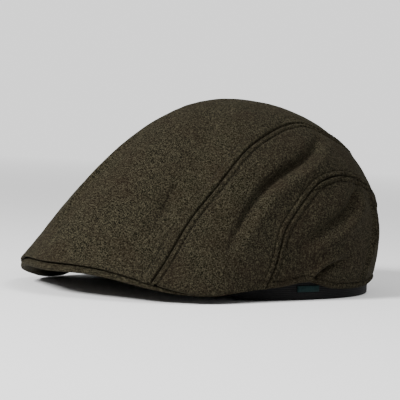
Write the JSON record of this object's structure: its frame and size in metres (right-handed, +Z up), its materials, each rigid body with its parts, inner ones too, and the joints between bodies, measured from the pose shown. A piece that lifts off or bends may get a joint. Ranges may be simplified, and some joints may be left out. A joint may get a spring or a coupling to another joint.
{
  "type": "flat cap",
  "caption": "Soft flat cap in dark olive-brown brushed wool, with a long top panel, curved back panels, a short stiff peak and a dark inner band",
  "frame": {"origin": "middle of the cap's footprint, on the surface it rests on", "axes": "+Z up, peak along -Y, wearer's left side along +X"},
  "size_m": [0.1803, 0.2532, 0.1245],
  "materials": {
    "crown_wool": "brushed matt wool with light flecks",
    "peak_wool": "brushed matt wool with light flecks",
    "band_cloth": "matt ribbed cloth",
    "label_cloth": "bare woven tape"
  },
  "bodies": {
    "root": {"top_panel": "crown_wool", "side_panel_left": "crown_wool", "side_panel_right": "crown_wool", "back_panel_left": "crown_wool", "back_panel_right": "crown_wool", "peak": "peak_wool", "sweatband": "band_cloth", "label": "label_cloth"}
  },
  "joints": []
}
